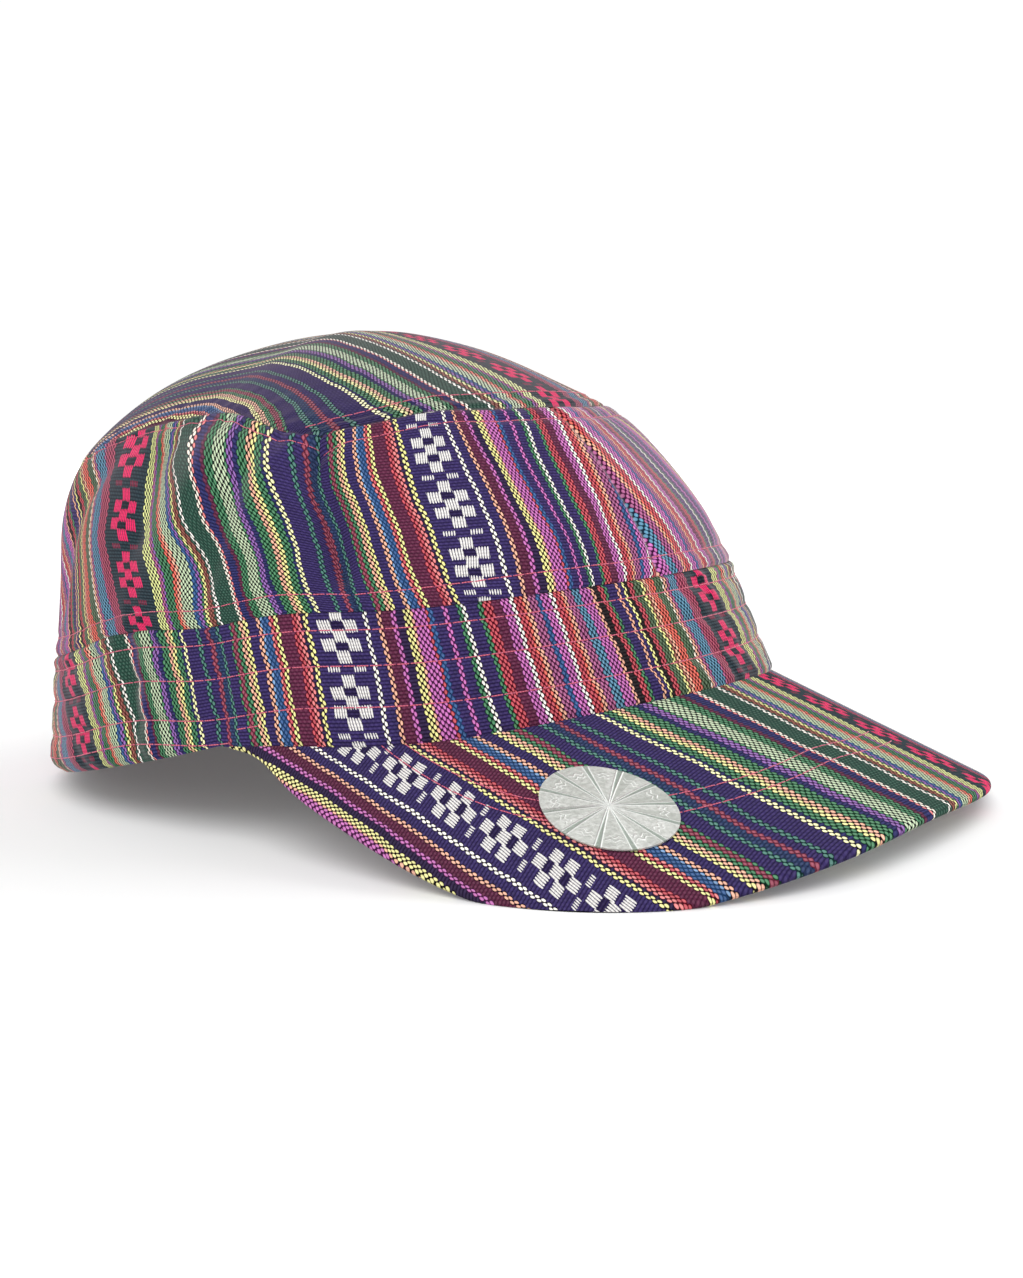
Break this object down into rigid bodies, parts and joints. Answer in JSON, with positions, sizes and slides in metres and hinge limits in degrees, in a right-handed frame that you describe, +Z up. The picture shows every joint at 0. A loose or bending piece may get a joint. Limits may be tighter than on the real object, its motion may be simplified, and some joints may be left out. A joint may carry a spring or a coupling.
{
  "type": "woven cap",
  "caption": "Soft five-panel camp cap of striped woven cotton with a headband and an arched peak, resting on a surface.",
  "frame": {"origin": "bottom centre of the bounding box, on the surface that the cap rests on", "axes": "+Z up, -Y towards the peak, -X to the wearer's right"},
  "size_m": [0.18, 0.266, 0.1197],
  "materials": {
    "woven_cotton": "warp-striped plain weave with woven crosses",
    "silver_foil": "embossed silver film"
  },
  "bodies": {
    "root": {"front_panel_right": "woven_cotton", "front_panel_left": "woven_cotton", "side_panel_right": "woven_cotton", "side_panel_left": "woven_cotton", "top_panel": "woven_cotton", "headband": "woven_cotton", "peak": "woven_cotton", "peak_sticker": "silver_foil"}
  },
  "joints": []
}
